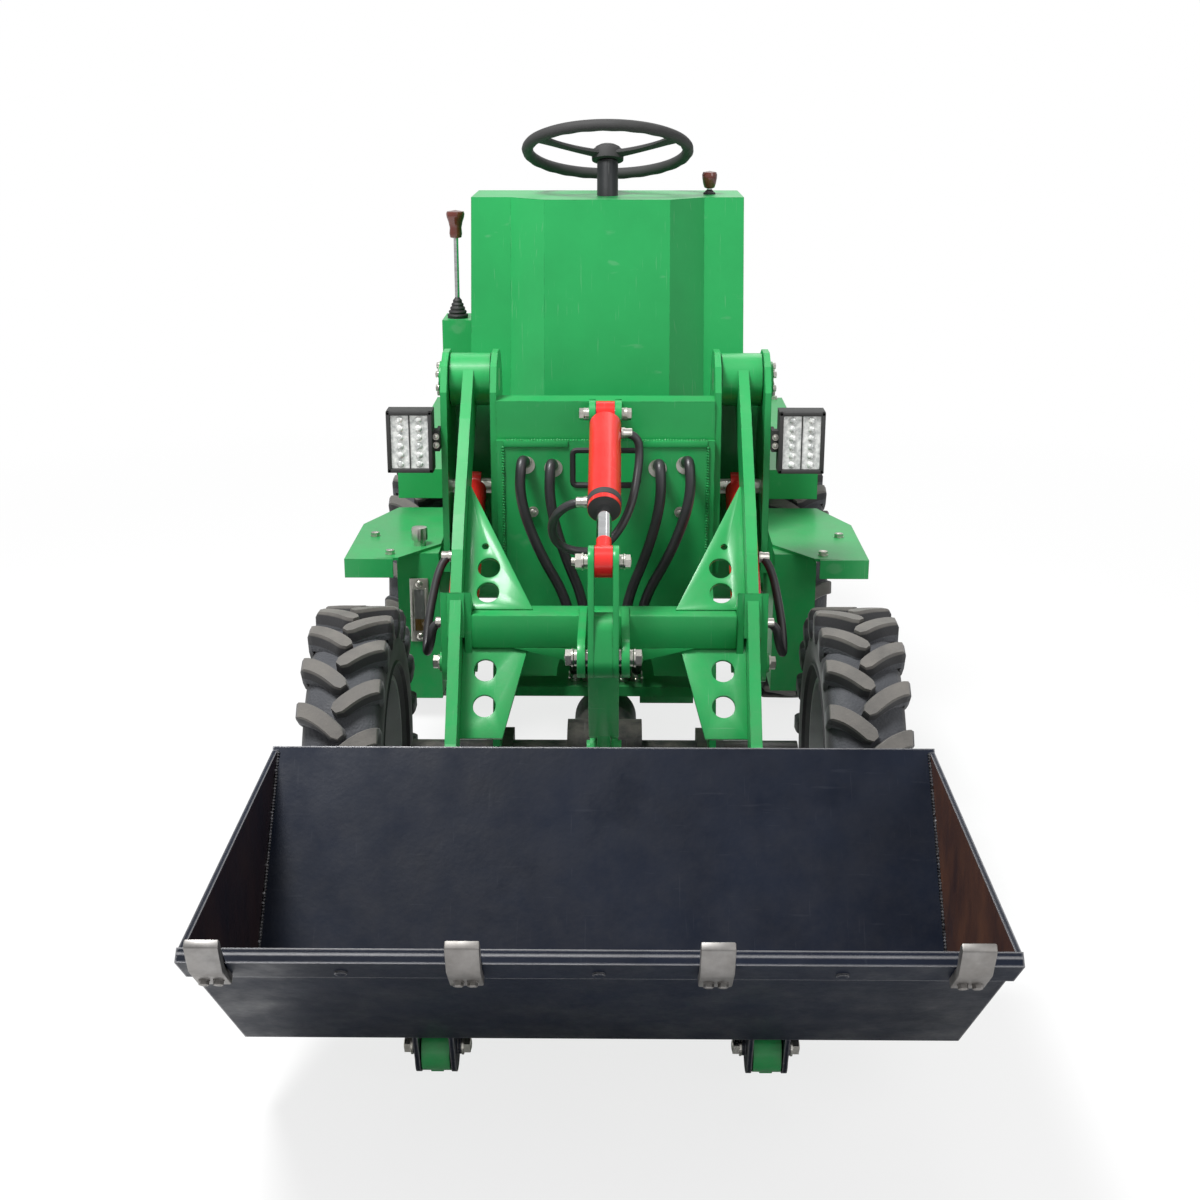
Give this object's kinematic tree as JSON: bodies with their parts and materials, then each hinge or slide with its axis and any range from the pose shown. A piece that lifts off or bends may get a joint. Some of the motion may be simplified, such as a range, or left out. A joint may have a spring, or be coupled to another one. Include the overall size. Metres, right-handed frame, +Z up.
{
  "type": "electric articulated mini loader",
  "caption": "Compact battery-powered wheel loader with a centre pivot, lift arms, a bell-crank bucket linkage, hydraulic cylinders and an open operator's seat.",
  "frame": {"origin": "middle of the bounding box on the ground under the machine", "axes": "+Z up, the bucket faces -Y, the seat end faces +Y, +X to the right of the picture, which is the machine's left-hand side"},
  "size_m": [1.1, 2.8, 1.4681],
  "materials": {
    "black_plastic": "matte",
    "black_steel": "satin",
    "chrome_rod": "polished",
    "green_paint": "satin",
    "lamp_plastic": "gloss",
    "red_paint": "gloss",
    "red_plastic": "gloss",
    "rim_paint": "satin",
    "seat_vinyl": "satin",
    "tyre_rubber": "matte",
    "worn_steel": "worn",
    "zinc_steel": "satin"
  },
  "bodies": {
    "rear_frame": {"rear_chassis": "green_paint", "pivot_pin": "zinc_steel", "rear_body": "green_paint", "rear_deck": "green_paint", "battery_pack": "black_plastic", "foot_wing_left": "green_paint", "foot_wing_right": "green_paint", "hydraulic_tank": "green_paint", "tank_fittings": "zinc_steel", "side_box": "green_paint", "console": "green_paint", "control_box": "green_paint", "levers": "red_plastic", "steering_column": "black_steel", "counterweight": "black_steel", "rear_axle": "green_paint", "rear_lamps": "lamp_plastic"},
    "rear_hood": {"hood": "green_paint", "hood_hinges": "zinc_steel", "seat_base": "green_paint", "seat": "seat_vinyl"},
    "steering_wheel": {"steering_wheel": "black_plastic"},
    "front_frame": {"front_chassis": "green_paint", "tower_left": "green_paint", "tower_right": "green_paint", "arm_pivot_pins": "zinc_steel", "lift_base_pins": "zinc_steel", "crossbeam": "green_paint", "front_axle": "black_steel", "front_motor": "zinc_steel", "work_lamps": "black_plastic"},
    "arms": {"arm_left": "green_paint", "arm_right": "green_paint", "arm_cross_member": "green_paint"},
    "bell_crank": {"bell_crank": "green_paint"},
    "bucket": {"bucket_shell": "black_steel", "cutting_edge": "black_steel", "bucket_teeth": "worn_steel"},
    "link": {"bucket_link": "green_paint"},
    "tilt_pin": {"tilt_base_pin": "zinc_steel"},
    "tilt_barrel": {"tilt_barrel": "red_paint"},
    "tilt_piston": {"tilt_piston": "chrome_rod"},
    "tilt_rod": {"tilt_rod": "chrome_rod"},
    "lift_barrels": {"lift_barrels": "red_paint"},
    "lift_rods": {"lift_rods": "chrome_rod"},
    "steer_barrel": {"steer_barrel": "red_paint"},
    "steer_rod": {"steer_rod": "chrome_rod"},
    "wheel_front_left": {"rim_front_left": "rim_paint", "tyre_front_left": "tyre_rubber"},
    "wheel_front_right": {"rim_front_right": "rim_paint", "tyre_front_right": "tyre_rubber"},
    "wheel_rear_left": {"rim_rear_left": "rim_paint", "tyre_rear_left": "tyre_rubber"},
    "wheel_rear_right": {"rim_rear_right": "rim_paint", "tyre_rear_right": "tyre_rubber"}
  },
  "joints": [
    {"name": "articulation", "type": "hinge", "parent": "rear_frame", "child": "front_frame", "pos_m": [0, 0.26, 0.45], "axis": [0, 0, 1], "range_deg": [-35, 35]},
    {"name": "arm_lift", "type": "hinge", "parent": "front_frame", "child": "arms", "pos_m": [0, -0.1, 0.995], "axis": [-1, 0, 0], "range_deg": [0, 78]},
    {"name": "bucket_tilt", "type": "hinge", "parent": "arms", "child": "bucket", "pos_m": [0, -0.968, 0.084], "axis": [1, 0, 0], "range_deg": [0, 135]},
    {"name": "hood_lid", "type": "hinge", "parent": "rear_frame", "child": "rear_hood", "pos_m": [0, 1.262, 0.7], "axis": [-1, 0, 0], "range_deg": [0, 65]},
    {"name": "steering", "type": "hinge", "parent": "rear_frame", "child": "steering_wheel", "pos_m": [0, 0.339, 1.4], "axis": [0, 0.3338, 0.9426], "continuous": true},
    {"name": "crank_swing", "type": "hinge", "parent": "arms", "child": "bell_crank", "pos_m": [0, -0.643, 0.621], "axis": [1, 0, 0], "range_deg": [-45.22, 0]},
    {"name": "link_swing", "type": "hinge", "parent": "bucket", "child": "link", "pos_m": [0, -0.945, 0.176], "axis": [1, 0, 0], "range_deg": [-117.78, 0]},
    {"name": "tilt_pin_turn", "type": "hinge", "parent": "front_frame", "child": "tilt_pin", "pos_m": [0, -0.24, 0.955], "axis": [1, 0, 0], "range_deg": [-94.67, 0]},
    {"name": "tilt_barrel_swing", "type": "hinge", "parent": "tilt_pin", "child": "tilt_barrel", "pos_m": [0, -0.24, 0.955], "axis": [1, 0, 0], "range_deg": [0, 12.38]},
    {"name": "tilt_piston_slide", "type": "slide", "parent": "tilt_barrel", "child": "tilt_piston", "axis": [0, -0.9171, -0.3987], "range_m": [0, 0.11852]},
    {"name": "tilt_rod_slide", "type": "slide", "parent": "tilt_piston", "child": "tilt_rod", "axis": [0, -0.9171, -0.3987], "range_m": [-0.08355, 0]},
    {"name": "lift_barrel_swing", "type": "hinge", "parent": "front_frame", "child": "lift_barrels", "pos_m": [0, -0.11, 0.788], "axis": [1, 0, 0], "range_deg": [-76.92, 0]},
    {"name": "lift_rod_slide", "type": "slide", "parent": "lift_barrels", "child": "lift_rods", "axis": [0, -0.8352, -0.5499], "range_m": [0, 0.26064]},
    {"name": "steer_barrel_swing", "type": "hinge", "parent": "rear_frame", "child": "steer_barrel", "pos_m": [0.16, 0.64, 0.3], "axis": [0, 0, 1], "range_deg": [-1.26, 1.26]},
    {"name": "steer_rod_slide", "type": "slide", "parent": "steer_barrel", "child": "steer_rod", "axis": [-0.1161, -0.9932, 0], "range_m": [-0.06548, 0.06548]},
    {"name": "wheel_front_left_spin", "type": "hinge", "parent": "front_frame", "child": "wheel_front_left", "pos_m": [-0.465, -0.34, 0.3], "axis": [1, 0, 0], "continuous": true},
    {"name": "wheel_front_right_spin", "type": "hinge", "parent": "front_frame", "child": "wheel_front_right", "pos_m": [0.465, -0.34, 0.3], "axis": [1, 0, 0], "continuous": true},
    {"name": "wheel_rear_left_spin", "type": "hinge", "parent": "rear_frame", "child": "wheel_rear_left", "pos_m": [-0.465, 0.86, 0.3], "axis": [1, 0, 0], "continuous": true},
    {"name": "wheel_rear_right_spin", "type": "hinge", "parent": "rear_frame", "child": "wheel_rear_right", "pos_m": [0.465, 0.86, 0.3], "axis": [1, 0, 0], "continuous": true}
  ],
  "couplings": [
    {"joint": "crank_swing", "follows": "bucket_tilt", "ratio": -0.33495},
    {"joint": "link_swing", "follows": "bucket_tilt", "ratio": -0.87242},
    {"joint": "tilt_pin_turn", "follows": "arm_lift", "ratio": -1.2138},
    {"joint": "tilt_barrel_swing", "follows": "bucket_tilt", "ratio": 0.091733},
    {"joint": "tilt_piston_slide", "follows": "arm_lift", "m_per_rad": 0.087061},
    {"joint": "tilt_rod_slide", "follows": "bucket_tilt", "m_per_rad": -0.035459},
    {"joint": "lift_barrel_swing", "follows": "arm_lift", "ratio": -0.9861},
    {"joint": "lift_rod_slide", "follows": "arm_lift", "m_per_rad": 0.19145},
    {"joint": "steer_barrel_swing", "follows": "articulation", "ratio": -0.03592},
    {"joint": "steer_rod_slide", "follows": "articulation", "m_per_rad": -0.1072}
  ]
}
